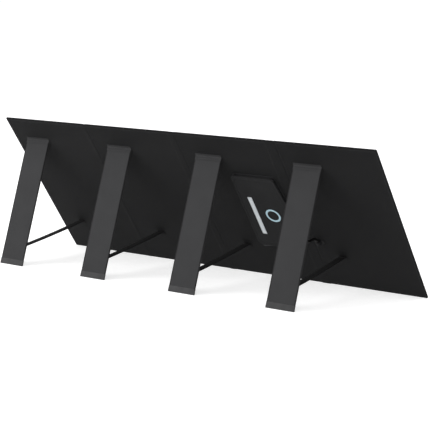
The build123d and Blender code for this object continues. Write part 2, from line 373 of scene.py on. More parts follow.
def studio_floor():
    """Matt white acrylic lit softly from below, as on a product table, so that shadows stay pale."""
    colour = linear("#d6d6d6")
    material, tree, shader = new_material(
        "backlit matt white acrylic", colour, 0.9, Specular_IOR_Level=0.1,
        Emission_Color=(1.0, 1.0, 1.0, 1.0), Emission_Strength=0.64)
    place = add_node(tree, "ShaderNodeTexCoord").outputs["Object"]
    shade_by(tree, shader, colour, mottle(tree, place, 0.8, 0.98, 1.0))
    return material


def make_materials():
    """Every material of the panel, by the name that the pieces use."""
    s = settings()
    return {
        # Coated cloth: the cover is dark and dead matt, the stands' heavier cloth shows its weave.
        "cover": woven_polyester("coated woven polyester", s.cover_colour, 1.6 * MM, 0.06),
        "stand": woven_polyester("heavy woven polyester", s.stand_colour, 2.0 * MM, 0.05),
        "band": woven_polyester("light woven polyester", linear("#29292a"), 1.6 * MM, 0.05),
        # Pressed with foam behind it: a closer weave, a little lighter than the cover.
        "pocket": woven_polyester("pressed foam-backed polyester", s.pocket_colour, 1.2 * MM, 0.05),
        # Narrow woven tapes: ribs across them that catch the light one by one, with painted highlights on
        # the ribs and painted shade between them.
        "tape": ribbed_tape("grosgrain edge tape", linear("#1c1c1d"), 1.4 * MM),
        "loop": ribbed_tape("soft polyester webbing", linear("#181819"), 2.0 * MM),
        "webbing": ribbed_tape("stiff polyester webbing", linear("#0b0b0c"), 2.2 * MM, 0.85),
        "label": ribbed_tape("woven satin label", s.label_colour, 0.9 * MM, 0.7),
        # Bonded thread: a smooth, slightly glossy strand.
        "thread": grained("bonded polyester thread", linear("#1f1f21"), 0.6, 0.3 * MM, 0.02 * MM),
        # Soft mouldings: PVC is smooth and satin, rubber is duller and grainier.
        "badge": grained("moulded grey-blue PVC", linear("#9db9c4"), 0.5, 0.4 * MM, 0.03 * MM),
        "grip": grained(
            "soft black PVC", linear("#060606"), 0.6, 0.4 * MM, 0.04 * MM, Specular_IOR_Level=0.2),
        "rubber": grained("moulded rubber", linear("#2e2e2f"), 0.78, 0.5 * MM, 0.06 * MM),
        # Zip parts: the nylon coil is satin, the slider's lacquer glossy over cast zinc.
        "coil": grained("nylon zip coil", linear("#1b1b1c"), 0.45, 0.3 * MM, 0.02 * MM),
        "zinc": grained(
            "black lacquered zinc", linear("#2b2b2e"), 0.35, 0.3 * MM, 0.02 * MM, Metallic=0.6),
        # Spark-eroded mould texture: an even, dull plastic skin.
        "abs": grained("moulded black ABS", linear("#19191a"), 0.5, 0.6 * MM, 0.04 * MM),
        "cell": silicon_cell(),
        "laminate": backsheet(),
        "ribbon": tinned_ribbon(),
        "board": glass_fibre(),
    }


MATERIALS = {}

# ---------------------------------------------------------------- surfaces


def join_shapes(shapes):
    """Several shapes as one."""
    counts = np.cumsum([0] + [len(shape.vertices) for shape in shapes])
    faces = [f + start for shape, start in zip(shapes, counts) for f in shape.faces]
    return Shape(
        np.concatenate([shape.vertices for shape in shapes]),
        faces,
        np.concatenate([shape.uv for shape in shapes]),
    )


def outward(shape):
    """The shape with its faces pointing out: the signed volume of the fans of its faces is positive."""
    volume = 0.0
    middle = shape.vertices.mean(0)
    for faces in shape.faces:
        corners = shape.vertices[faces] - middle
        for k in range(1, faces.shape[1] - 1):
            volume += np.einsum(
                "ij,ij->", corners[:, 0], np.cross(corners[:, k], corners[:, k + 1]))
    if volume < 0:
        return Shape(shape.vertices, [f[:, ::-1] for f in shape.faces], shape.uv)
    return shape


def quads(index):
    """Four-cornered faces between the neighbours of a grid of vertex numbers."""
    return np.stack(
        (index[:-1, :-1], index[1:, :-1], index[1:, 1:], index[:-1, 1:]), -1).reshape(-1, 4)


def closed_rows(index):
    """A grid of vertex numbers whose first column comes again at the end, so that it closes."""
    return np.concatenate((index, index[:, :1]), 1)


def run_length(points):
    """The distance along a line of points, from its start to each of them."""
    steps = np.linalg.norm(np.diff(points, axis=0), axis=1)
    return np.concatenate(([0], np.cumsum(steps)))


def add_piece(name, shape, material, body=None, replaces=()):
    """Puts a shape into a mesh object, with its flat cloth map, and says what it rides on."""
    mesh = bpy.data.meshes.new(name)
    faces = [face for group in shape.faces for face in group.tolist()]
    mesh.from_pydata(shape.vertices.tolist(), [], faces)
    corner_vertex = np.empty(len(mesh.loops), np.int32)
    mesh.loops.foreach_get("vertex_index", corner_vertex)
    cloth = mesh.uv_layers.new(name="cloth")
    cloth.data.foreach_set("uv", shape.uv[corner_vertex].astype(np.float32).ravel())
    mesh.materials.append(MATERIALS[material])
    mesh.validate()
    mesh.shade_smooth()
    mesh.set_sharp_from_angle(angle=math.radians(40))
    piece = bpy.data.objects.new(name, mesh)
    bpy.context.scene.collection.objects.link(piece)
    if body:
        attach(piece, body)
    if replaces:
        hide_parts(*replaces)
    return piece


def smooth_step(value):
    """0 below 0, 1 above 1, and a smooth S between them."""
    t = np.clip(value, 0.0, 1.0)
    return t * t * (3 - 2 * t)


def groove(distance, at, width):
    """1 along a line at one distance from the edge, falling off as a bell over width."""
    return np.exp(-(((distance - at) / width) ** 2))


def quarter_round(distance, radius):
    """The rise of a rounded edge: a quarter ellipse from 0 at the edge to 1 at radius."""
    return np.sqrt(1 - (1 - np.clip(distance / radius, 0, 1)) ** 2)


def side_samples(side, near, spacing):
    """Places across a side: the near distances from both ends, then evenly between them."""
    near = near[near < side / 2 - 0.2 * MM]
    count = max(1, round((side - 2 * near[-1]) / spacing))
    middle = np.linspace(near[-1], side - near[-1], count + 1)[1:-1]
    return np.concatenate((near, middle, side - near[::-1])) - side / 2


def rounded_grid(size, corner, rim, spacing, extra=()):
    """A grid over a rectangle with rounded corners: x, y and the distance to the edge.

    In each corner's square the grid's square rings become quarter circles: a point whose larger
    share of the way out is r lies at r times the corner radius, at an angle from the other share."""
    steps = np.array((0.0, 0.12, 0.3, 0.6, 1.0))
    near = np.unique(np.round(np.concatenate((corner * steps, rim * steps, extra)), 7))
    xs = side_samples(size[0], near, spacing[0])
    ys = side_samples(size[1], near, spacing[1])
    x, y = np.meshgrid(xs, ys, indexing="ij")
    to_x, to_y = size[0] / 2 - abs(x), size[1] / 2 - abs(y)
    a, b = (corner - to_x) / corner, (corner - to_y) / corner
    inside = (a > 0) & (b > 0)
    a, b = np.where(inside, a, 1.0), np.where(inside, b, 0.5)
    angle = np.where(a >= b, math.pi / 4 * b / a, math.pi / 2 - math.pi / 4 * a / b)
    far = np.maximum(a, b)
    round_x = size[0] / 2 - corner + corner * far * np.cos(angle)
    round_y = size[1] / 2 - corner + corner * far * np.sin(angle)
    distance = np.where(inside, corner * (1 - far), np.minimum(to_x, to_y))
    x = np.where(inside, np.sign(x) * round_x, x)
    y = np.where(inside, np.sign(y) * round_y, y)
    return x, y, np.maximum(distance, 0.0)


def two_sided(place, x, y, low, high):
    """Closes two height fields over one grid, which meet along its edge."""
    upper = np.arange(x.size).reshape(x.shape)
    lower = upper.copy()
    inner = lower[1:-1, 1:-1]
    inner[...] = x.size + np.arange(inner.size).reshape(inner.shape)
    top = np.stack((x, y, high), -1).reshape(-1, 3)
    bottom = np.stack((x, y, low), -1)[1:-1, 1:-1].reshape(-1, 3)
    local = np.concatenate((top, bottom))
    faces = [np.concatenate((quads(upper), quads(lower)[:, ::-1]))]
    return outward(Shape(to_world(place, local), faces, local[:, :2].copy()))


def slab(place, centre, size, low, high, corner, rim, spacing,
         low_relief=None, high_relief=None, extra=()):
    """A thin rounded block. Its thickness grows from the edge as a quarter ellipse over rim.

    A relief is a function of x, y and the distance to the edge, and stands out from its side."""
    x, y, edge = rounded_grid(size, corner, rim, spacing, extra)
    full = quarter_round(edge, rim)
    middle, half = (low + high) / 2, (high - low) / 2
    raised = high_relief(x, y, edge) if high_relief else 0.0
    sunk = low_relief(x, y, edge) if low_relief else 0.0
    return two_sided(
        place, x + centre[0], y + centre[1],
        middle - (half + sunk) * full, middle + (half + raised) * full)


def rounded_loop(size, corner, steps):
    """Points round a rectangle with rounded corners, anticlockwise, and their outward directions."""
    angle = np.linspace(0, math.pi / 2, steps + 1)
    turns = np.concatenate([angle + k * math.pi / 2 for k in range(4)])
    out = np.stack((np.cos(turns), np.sin(turns)), -1)
    signs = np.repeat(((1, 1), (-1, 1), (-1, -1), (1, -1)), steps + 1, axis=0)
    points = signs * (np.array(size) / 2 - corner) + corner * out
    return points, out


def rounded_polygon(corners, radius, steps):
    """Points round a convex polygon, anticlockwise, with each corner an arc that touches both sides."""
    corners = np.array(corners, float)
    points, outs = [], []
    for before, here, after in zip(np.roll(corners, 1, 0), corners, np.roll(corners, -1, 0)):
        into = (here - before) / np.linalg.norm(here - before)
        away = (after - here) / np.linalg.norm(after - here)
        start = math.atan2(-into[0], into[1])
        turn = math.atan2(into[0] * away[1] - into[1] * away[0], into @ away)
        bisector = (away - into) / np.linalg.norm(away - into)
        centre = here + bisector * radius / math.cos(turn / 2)
        angle = start + turn * np.linspace(0, 1, steps + 1)
        out = np.stack((np.cos(angle), np.sin(angle)), -1)
        points.append(centre + radius * out)
        outs.append(out)
    return np.concatenate(points), np.concatenate(outs)


def closed_tube(place, ring, heights, uv=None):
    """Joins rings of points, each at its own height, into a tube that closes on itself both ways."""
    z = np.broadcast_to(heights[:, None, None], ring.shape[:2] + (1,))
    local = np.concatenate((ring, z), -1).reshape(-1, 3)
    index = np.arange(len(local)).reshape(ring.shape[:2])
    index = closed_rows(np.concatenate((index, index[:1])))
    uv = local[:, :2].copy() if uv is None else uv
    return outward(Shape(to_world(place, local), [quads(index)], uv))


def carried_round(place, centre, points, out, profile):
    """A closed profile of (outset, z) carried round a closed line, out along the line's normals."""
    profile = np.array(profile, float)
    ring = points[None] + profile[:, 0, None, None] * out[None] + np.array(centre)
    u, v = np.meshgrid(run_length(profile), run_length(points), indexing="ij")
    return closed_tube(place, ring, profile[:, 1], np.stack((u, v), -1).reshape(-1, 2))


def frame_ring(place, centre, size, corner, profile):
    """A profile of (inset, z) carried round a rounded rectangle whose corners tighten as it goes in."""
    profile = np.array(profile, float)
    tightest, corner_steps = 0.3 * MM, 5
    loops = [
        rounded_loop(np.array(size) - 2 * inset, max(corner - inset, tightest), corner_steps)[0]
        for inset in profile[:, 0]
    ]
    return closed_tube(place, np.array(loops) + np.array(centre), profile[:, 1])


def at_x(x, points):
    """Points (y, z) of a place as points (x, y, z), all at one x."""
    return np.insert(np.array(points, float), 0, x, axis=1)


def smooth_path(controls, samples):
    """A clamped uniform cubic B-spline near the control points: each point is the weighted mean of four."""
    controls = np.array(controls, float)
    padded = np.concatenate((np.repeat(controls[:1], 2, 0), controls, np.repeat(controls[-1:], 2, 0)))
    windows = np.stack([padded[k : len(padded) - 3 + k] for k in range(4)], 1)
    t = np.linspace(0, 1, samples, endpoint=False)
    basis = np.stack(
        ((1 - t) ** 3, 3 * t**3 - 6 * t**2 + 4, -3 * t**3 + 3 * t**2 + 3 * t + 1, t**3), -1) / 6
    path = np.einsum("sk,wkd->wsd", basis, windows).reshape(-1, controls.shape[1])
    return np.concatenate((path, controls[-1:]))


def capped_tube(shape):
    """Faces of a row of rings, numbered ring by ring: the sides and a flat face at each end."""
    index = np.arange(shape[0] * shape[1]).reshape(shape)
    return [quads(closed_rows(index)), index[:1, ::-1], index[-1:]]


def swept(path, across, section, scale=None):
    """A closed section of (across, outward) points carried along a line in the frame.

    across is one direction square to the line; outward is square to both. The ends are flat faces."""
    path = np.asarray(path, float)
    tangent = np.gradient(path, axis=0)
    tangent /= np.linalg.norm(tangent, axis=1)[:, None]
    side = np.broadcast_to(across, path.shape)
    up = np.cross(tangent, side)
    up /= np.linalg.norm(up, axis=1)[:, None]
    scale = np.ones(len(path)) if scale is None else scale
    section = np.asarray(section, float)
    spread = section[None] * scale[:, None, None]
    vertices = path[:, None] + spread[..., :1] * side[:, None] + spread[..., 1:] * up[:, None]
    v, u = np.meshgrid(run_length(path), run_length(section), indexing="ij")
    uv = np.stack((u, v), -1).reshape(-1, 2)
    return outward(Shape(vertices.reshape(-1, 3), capped_tube(vertices.shape[:2]), uv))


def strap_section(width, thickness):
    """A flat section with rounded edges."""
    points, _ = rounded_loop((width, thickness), 0.48 * thickness, 3)
    return points


def round_section(radius, sides=16):
    """A circle."""
    angle = np.linspace(0, 2 * math.pi, sides, endpoint=False)
    return radius * np.stack((np.cos(angle), np.sin(angle)), -1)


def repeated(template, faces, points, along, up):
    """One small template, in (along, sideways, up), set at each point in its own directions."""
    side = np.cross(up, along)
    turned = (
        template[None, :, :1] * along[:, None]
        + template[None, :, 1:2] * side[:, None]
        + template[None, :, 2:] * up[:, None]
    )
    vertices = (points[:, None] + turned).reshape(-1, 3)
    starts = np.arange(len(points))[:, None, None] * len(template)
    groups = [(group[None] + starts).reshape(-1, group.shape[1]) for group in faces]
    uv = np.tile(template[:, :2], (len(points), 1))
    return outward(Shape(vertices, groups, uv))


def stitch_template(length, radius):
    """One stitch: a thread that arches out of the cloth and goes back in, round in section."""
    rings, sides = 3, 5
    share = np.array((0.2, 0.5, 0.8))
    angle = np.linspace(0, 2 * math.pi, sides, endpoint=False)
    x = (share - 0.5) * length
    thick = radius * np.array((0.85, 1.0, 0.85))
    rise = radius * np.array((0.1, 0.5, 0.1))
    ring = np.stack(
        (
            np.broadcast_to(x[:, None], (rings, sides)),
            thick[:, None] * np.cos(angle),
            rise[:, None] + thick[:, None] * np.sin(angle),
        ), -1).reshape(-1, 3)
    ends = np.array(((-length / 2, 0, -radius), (length / 2, 0, -radius)))
    wrapped = closed_rows(np.arange(rings * sides).reshape(rings, sides))
    first, last = rings * sides, rings * sides + 1
    close = [
        np.stack((np.full(sides, first), wrapped[0, 1:], wrapped[0, :-1]), -1),
        np.stack((np.full(sides, last), wrapped[-1, :-1], wrapped[-1, 1:]), -1),
    ]
    return np.concatenate((ring, ends)), [quads(wrapped), *close]


def between_points(line, length, at):
    """The points of a line at some distances along it, where length is each point's own."""
    return np.stack([np.interp(at, length, line[:, k]) for k in range(line.shape[1])], -1)


def evenly(points, pitch, closed):
    """Places and directions every pitch along a line of points."""
    line = np.concatenate((points, points[:1])) if closed else points
    length = run_length(line)
    count = max(1, int(length[-1] / pitch))
    at = (np.arange(count) + 0.5) * length[-1] / count
    step = 0.3 * MM
    along = between_points(line, length, at + step) - between_points(line, length, at - step)
    return between_points(line, length, at), along / np.linalg.norm(along, axis=1)[:, None]


def stitch_line(place, points, z, outward_z, closed=True, pitch=None, radius=0.32 * MM):
    """A row of stitches along a line drawn on a place's plane, on the side that outward_z says."""
    pitch = pitch or settings().stitch_pitch
    flat = np.concatenate((points, np.full((len(points), 1), z)), 1)
    places, along = evenly(flat, pitch, closed)
    template, faces = stitch_template(0.78 * pitch, radius)
    up = np.broadcast_to(place.axes[2] * outward_z, places.shape)
    return repeated(template, faces, to_world(place, places), along @ place.axes, up)


def boxed_stitches(place, centre, size, z):
    """The crossed box that holds a strap's end on the back: four sides and two diagonals."""
    half = np.array(size) / 2
    corners = np.array(((-1, -1), (1, -1), (1, 1), (-1, 1))) * half + np.array(centre)
    lines = [(corners, True), (corners[[0, 2]], False), (corners[[1, 3]], False)]
    return join_shapes([
        stitch_line(place, line, z, -1.0, closed, 2.6 * MM, 0.28 * MM) for line, closed in lines
    ])


# ---------------------------------------------------------------- sections


HEM_STITCH_INSET = 2.5 * MM
CHANNEL_WIDTH = 0.8 * MM
HEM_STEP = 1.2 * MM


def cover_relief(x, y, edge):
    """The hem stands proud, its stitches pull a channel, and the cloth between is a little slack."""
    hem = settings().hem_width
    turned = 0.15 * MM * (1 - smooth_step((edge - hem) / HEM_STEP))
    channel = 0.28 * MM * groove(edge, hem - HEM_STITCH_INSET, CHANNEL_WIDTH)
    waves = np.sin(x / (31 * MM) + 1.3 * np.sin(y / (47 * MM))) * np.sin(y / (38 * MM) + x / (90 * MM))
    slack = 0.22 * MM * waves * smooth_step((edge - hem) / (25 * MM))
    return turned - channel + slack


def make_section_cover(number):
    """Back cover of one section, with its hem and the row of stitches in it."""
    low, high = local_box(PANEL, f"section_{number}_back_fabric")
    centre, size = (low + high)[:2] / 2, (high - low)[:2]
    hem = settings().hem_width
    channel = hem - HEM_STITCH_INSET
    extra = (channel - CHANNEL_WIDTH, channel, channel + CHANNEL_WIDTH, hem, hem + HEM_STEP)
    shape = slab(
        PANEL, centre, size, low[2], high[2], 3 * MM, 1.6 * MM, (9 * MM, 9 * MM),
        low_relief=cover_relief, extra=extra)
    cover = add_piece(
        f"section_{number}_cover", shape, "cover", f"section_{number}",
        [f"section_{number}_back_fabric"])
    line, _ = rounded_loop(size - 2 * channel, 2 * MM, 3)
    add_piece(
        f"section_{number}_hem_stitches",
        stitch_line(PANEL, line + centre, low[2] + 0.1 * MM, -1.0),
        "thread", f"section_{number}")


def make_front_border(number):
    """Fabric frame round the laminate: turned edges, a flat face and a step down to the film."""
    low, high = local_box(PANEL, f"section_{number}_front_border")
    sheet_low, sheet_high = local_box(PANEL, f"section_{number}_laminate")
    centre, size = (low + high)[:2] / 2, (high - low)[:2]
    width = sheet_low[0] - low[0]
    base, top = low[2], high[2]
    seams = (4.8 * MM, width - 3.8 * MM)
    dimple = [(-CHANNEL_WIDTH, 0.0), (0.0, 0.25 * MM), (CHANNEL_WIDTH, 0.0)]
    profile = [
        (0.5 * MM, base), (0.0, base + 0.3 * MM), (0.0, top - 0.8 * MM), (0.3 * MM, top - 0.25 * MM),
        (0.9 * MM, top), *[(seam + beside, top - sunk) for seam in seams for beside, sunk in dimple],
        (width - 0.8 * MM, top - 0.05 * MM), (width - 0.2 * MM, top - 0.35 * MM),
        (width, sheet_high[2] + 0.1 * MM), (width - 0.4 * MM, base),
    ]
    add_piece(
        f"section_{number}_border", frame_ring(PANEL, centre, size, 3 * MM, profile),
        "cover", f"section_{number}", [f"section_{number}_front_border"])
    rows = []
    for inset in seams:
        line, _ = rounded_loop(size - 2 * inset, 2 * MM, 3)
        rows.append(stitch_line(PANEL, line + centre, top - 0.1 * MM, 1.0))
    add_piece(
        f"section_{number}_border_stitches", join_shapes(rows), "thread",
        f"section_{number}")


def ribbon_template(length, width, height):
    """A flat strip with sloping edges, long in its first direction."""
    section = np.array(((-0.5, 0.0), (-0.38, 1.0), (0.38, 1.0), (0.5, 0.0))) * (width, height)
    ends = np.repeat(((-length / 2,), (length / 2,)), 4, 0)
    vertices = np.concatenate((ends, np.tile(section, (2, 1))), 1)
    return vertices, capped_tube((2, 4))


def make_ribbons(number):
    """Ribbons that run up each column of cells and join it in series."""
    low, high = local_box(PANEL, f"section_{number}_cells")
    count = settings().ribbon_count
    column = (high[0] - low[0]) / 2
    middle_y = (low[1] + high[1]) / 2
    share = (np.arange(count) + 0.5) / count
    x = np.concatenate([low[0] + column * (k + share) for k in range(2)])
    places = np.stack((x, np.full(len(x), middle_y), np.full(len(x), high[2])), -1)
    template, faces = ribbon_template(high[1] - low[1] + 6 * MM, 0.9 * MM, 0.12 * MM)
    along = np.broadcast_to(PANEL.axes[1], places.shape)
    up = np.broadcast_to(PANEL.axes[2], places.shape)
    shape = repeated(template, faces, to_world(PANEL, places), along, up)
    buses = []
    for end in (low[1] - 6 * MM, high[1] + 6 * MM):
        buses.append(slab(
            PANEL, ((low[0] + high[0]) / 2, end), (high[0] - low[0], 4 * MM),
            high[2] - 0.35 * MM, high[2] - 0.1 * MM, 0.5 * MM, 0.1 * MM, (60 * MM, 2 * MM)))
    add_piece(
        f"section_{number}_ribbons", join_shapes([shape, *buses]), "ribbon",
        f"section_{number}")


def make_folding_strip(name, span, replaces, thick):
    """A strip of cover cloth from one section to the next."""
    lap = 3.0 * MM
    width = span[1] - span[0]
    centre = (sum(span) / 2, PANEL_HEIGHT / 2)
    shapes = [slab(
        PANEL, centre, (width + 2 * lap, PANEL_HEIGHT), -0.5 * MM, 0.15 * MM, 1 * MM, 0.5 * MM,
        (0.9 * MM, 12 * MM))]
    if thick:
        shapes.append(slab(
            PANEL, centre, (width - 0.3 * MM, PANEL_HEIGHT - 0.5 * MM), 0.15 * MM, thick,
            0.8 * MM, 0.8 * MM, (1.2 * MM, 12 * MM)))
    strip = add_piece(name, join_shapes(shapes), "cover", replaces=replaces)
    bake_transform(strip)


def make_spines():
    """The tight fold between sections 1 and 2 and the two spines, all in the cover's cloth."""
    spans = {n: local_box(PANEL, f"section_{n}_back_fabric") for n in SECTIONS}
    spine = local_box(PANEL, "spine_34_fabric")[1][2]
    joins = [
        ("fold_12_strip", 1, 2, 3.0 * MM, None, ["fold_12_fabric"]),
        ("spine_23_strip", 2, 3, 0.0, spine, ["spine_23_fabric", "spine_23_core"]),
        ("spine_34_strip", 3, 4, 0.0, spine, ["spine_34_fabric", "spine_34_core"]),
    ]
    for name, first, second, spread, thick, nodes in joins:
        near, far = spans[first][0][0], spans[second][1][0]
        make_folding_strip(name, (far, near), nodes, thick)


def dress_nodes():
    """Materials for the nodes that keep their own shape."""
    kinds = {"_cells": "cell", "_laminate": "laminate", "_board": "board"}
    for name, node in frame["nodes"].items():
        for ending, material in kinds.items():
            if name.startswith("section") and name.endswith(ending):
                node.data.materials.clear()
                node.data.materials.append(MATERIALS[material])
    for name in ("junction_box", "junction_box_lid", "output_gland"):
        node = frame["nodes"][name]
        node.data.materials.clear()
        node.data.materials.append(MATERIALS["abs"])


# ---------------------------------------------------------------- stands


def stand_relief(x, y, edge):
    """The board's cover lies flat, with a slight crown and a soft dip along the binding."""
    dip = 0.15 * MM * groove(edge, 4.2 * MM, 1.2 * MM)
    crown = 0.18 * MM * smooth_step(edge / (30 * MM))
    return crown - dip + 0.06 * MM * np.sin(y / (27 * MM) + x / (19 * MM))


def make_stand_panel(number):
    """Covered board of a stand, the tape that binds its edge and the stitches through the tape."""
    place = STANDS[number]
    low, high = local_box(place, f"stand_{number}_binding")
    centre, size = (low + high)[:2] / 2, (high - low)[:2]
    half = high[2]
    body = f"stand_{number}"
    shape = slab(
        place, centre, size - 1.2 * MM, -half + 0.25 * MM, half - 0.25 * MM, 3 * MM, 1.2 * MM,
        (8 * MM, 12 * MM), stand_relief, stand_relief, extra=(3 * MM, 4.2 * MM, 5.4 * MM))
    add_piece(f"stand_{number}_cover", shape, "stand", body, [f"stand_{number}_board"])
    skin, reach = 0.45 * MM, 3.0 * MM
    outer = [
        (reach, half + 0.05 * MM), (0.8 * MM, half + 0.1 * MM), (0.2 * MM, half - 0.5 * MM), (0.0, 0.0),
    ]
    inner = [(0.5 * MM, 0.0), (1.2 * MM, half - skin), (reach, half - skin)]
    profile = (
        outer + [(i, -z) for i, z in reversed(outer[:-1])]
        + [(i, -z) for i, z in reversed(inner[1:])] + inner
    )
    add_piece(
        f"stand_{number}_edge_tape", frame_ring(place, centre, size, 3.2 * MM, profile),
        "tape", body, [f"stand_{number}_binding"])
    line, _ = rounded_loop(size - 2 * 1.9 * MM, 1.5 * MM, 3)
    rows = [stitch_line(place, line + centre, side * (half + 0.05 * MM), side) for side in (1.0, -1.0)]
    add_piece(f"stand_{number}_edge_stitches", join_shapes(rows), "thread", body)


def make_stand_foot(number):
    """Rubber shoe on the stand's end: it laps over the cloth, thickens, and is cut level."""
    place = STANDS[number]
    low, high = local_box(place, f"stand_{number}_foot")
    down, out = place.axes[1][2], place.axes[2][2]

    def ground(z):
        """How far down the stand its side at depth z meets the ground."""
        return -(place.origin[2] + z * out) / down

    lip, sole = high[2] + 0.35 * MM, high[2] + 0.7 * MM
    top = low[1] - 7 * MM
    loop = [
        (top, -lip + 0.3 * MM), (top + 1 * MM, -lip), (low[1], -lip), (low[1] + 3 * MM, -sole),
        (ground(-sole) - 0.8 * MM, -sole), (ground(-sole + 0.5 * MM), -sole + 0.5 * MM),
        (ground(0.0), 0.0), (ground(sole - 0.5 * MM), sole - 0.5 * MM),
        (ground(sole) - 0.8 * MM, sole), (low[1] + 3 * MM, sole), (low[1], lip),
        (top + 1 * MM, lip), (top, lip - 0.3 * MM),
    ]
    loop = np.array(loop)
    middle = np.array(((top + ground(0.0)) / 2, 0.0))
    half = (high[0] - low[0]) / 2 + 0.4 * MM
    stations = np.array((-1.0, -0.994, -0.98, 0.98, 0.994, 1.0)) * half + (low[0] + high[0]) / 2
    thin = np.array((0.55, 0.85, 1.0, 1.0, 0.85, 0.55))
    section = middle + (loop - middle)[None] * np.stack((np.ones(6), thin), -1)[:, None]
    x = np.broadcast_to(stations[:, None, None], section.shape[:2] + (1,))
    local = np.concatenate((x, section), -1)
    local[:, :, 1] = np.minimum(local[:, :, 1], ground(local[:, :, 2]))
    flat = local.reshape(-1, 3)
    shape = Shape(to_world(place, flat), capped_tube(local.shape[:2]), flat[:, :2].copy())
    add_piece(
        f"stand_{number}_shoe", outward(shape), "rubber", f"stand_{number}",
        [f"stand_{number}_foot"])


def make_hinge_band(number):
    """Cloth hinge: a strip sewn across the back, and a roll of the stand's cloth that bends below it."""
    place = STANDS[number]
    low, high = local_box(PANEL, f"stand_{number}_hinge_band")
    stand_low, stand_high = local_box(place, f"stand_{number}_binding")
    x = (low[0] + high[0]) / 2
    width = high[0] - low[0] - 1 * MM
    face = stand_high[2] + 0.5 * MM
    turn, last = (
        (to_world(place, (x, stand_low[1] + down, face)) - PANEL.origin) @ PANEL.axes.T
        for down in (0.5 * MM, 5 * MM)
    )
    sewn = at_x(x, [
        (high[1], -0.6 * MM), (high[1] - 2 * MM, -0.65 * MM), (high[1] - 5 * MM, -0.7 * MM),
        (high[1] - 8 * MM, -0.7 * MM),
    ])
    roll = at_x(x, [
        (high[1] - 6 * MM, -1.1 * MM), (high[1] - 8 * MM, -1.3 * MM),
        (low[1] + 1 * MM, -1.5 * MM), (low[1] - 0.5 * MM, -2.8 * MM), turn[1:], last[1:],
    ])
    section = strap_section(width, 0.7 * MM)
    add_piece(
        f"stand_{number}_hinge_strip",
        swept(to_world(PANEL, smooth_path(sewn, 4)), ACROSS, section), "band",
        f"section_{number}")
    band = add_piece(
        f"stand_{number}_band", swept(to_world(PANEL, smooth_path(roll, 6)), ACROSS, section), "stand",
        replaces=[f"stand_{number}_hinge_band"])
    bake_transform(band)
    ends = np.array(((x - width / 2 + 2 * MM, 0.0), (x + width / 2 - 2 * MM, 0.0)))
    rows = [
        stitch_line(PANEL, ends + (0.0, v), z, -1.0, closed=False)
        for v, z in ((high[1] - 2 * MM, -0.95 * MM), (high[1] - 7.5 * MM, -1.55 * MM))
    ]
    add_piece(
        f"stand_{number}_band_stitches", join_shapes(rows), "thread", f"section_{number}")


def make_tether(number):
    """Webbing from the panel's back to the stand: sewn flat at each end and taut between."""
    place = STANDS[number]
    low, high = local_box(PANEL, f"tether_{number}_tab")
    x, v = (low + high)[:2] / 2
    strap_low, strap_high = local_box(PANEL, f"tether_{number}")
    width = strap_high[0] - strap_low[0]
    far = local_box(place, f"tether_{number}")[1][1]
    inner_face = local_box(place, f"stand_{number}_board")[0][2]
    on_panel = to_world(PANEL, at_x(x, [
        (v - 10 * MM, -1.1 * MM), (v - 5 * MM, -1.2 * MM), (v - 0.5 * MM, -1.9 * MM),
        (v + 3.5 * MM, -8 * MM),
    ]))
    on_stand = to_world(place, at_x(x, [
        (far - 2 * MM, inner_face - 6 * MM), (far + 1 * MM, inner_face - 1.6 * MM),
        (far + 5 * MM, inner_face - 0.9 * MM), (far + 11 * MM, inner_face - 0.8 * MM),
    ]))
    share = np.linspace(0, 1, 9)[1:-1, None]
    between = on_panel[-1] * (1 - share) + on_stand[0] * share
    between[:, 2] -= settings().tether_sag * 4 * (share * (1 - share))[:, 0]
    path = smooth_path(np.concatenate((on_panel, between, on_stand)), 5)
    strap = add_piece(
        f"tether_{number}_webbing", swept(path, ACROSS, strap_section(width, 1.1 * MM)), "webbing",
        f"section_{number}", [f"tether_{number}"])
    patch = slab(
        PANEL, (x, v), (high - low)[:2], -0.55 * MM, 0.0, 2 * MM, 0.5 * MM, (3 * MM, 3 * MM))
    add_piece(
        f"tether_{number}_patch", patch, "cover", f"section_{number}",
        [f"tether_{number}_tab"])
    box = boxed_stitches(PANEL, (x, v - 5 * MM), (width - 5 * MM, 8 * MM), -1.75 * MM)
    stitches = add_piece(
        f"tether_{number}_stitches", box, "thread", f"section_{number}")
    for soft in (strap, stitches):
        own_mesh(soft)
    pad = slab(
        place, (x, far + 6 * MM), (width + 4 * MM, 16 * MM), inner_face - 0.35 * MM,
        inner_face + 0.2 * MM, 2 * MM, 0.25 * MM, (3 * MM, 3 * MM))
    add_piece(f"tether_{number}_stand_pad", pad, "webbing", f"stand_{number}")


# ---------------------------------------------------------------- pocket


POCKET_CORNER_STEPS = 5


def pocket_outline():
    """The pocket's outline: a straight hinge side with clipped corners and a shallow point opposite."""
    low, high = local_box(PANEL, "pocket_cover")
    shoulder, clip, radius = 21 * MM, 12 * MM, 7 * MM
    tip, left = low[0], high[0]
    corners = [
        (left, low[1] + clip), (left, high[1] - clip), (left - clip, high[1]),
        (tip + shoulder, high[1]), (tip, (low[1] + high[1]) / 2), (tip + shoulder, low[1]),
        (left - clip, low[1]),
    ]
    return rounded_polygon(corners, radius, POCKET_CORNER_STEPS)


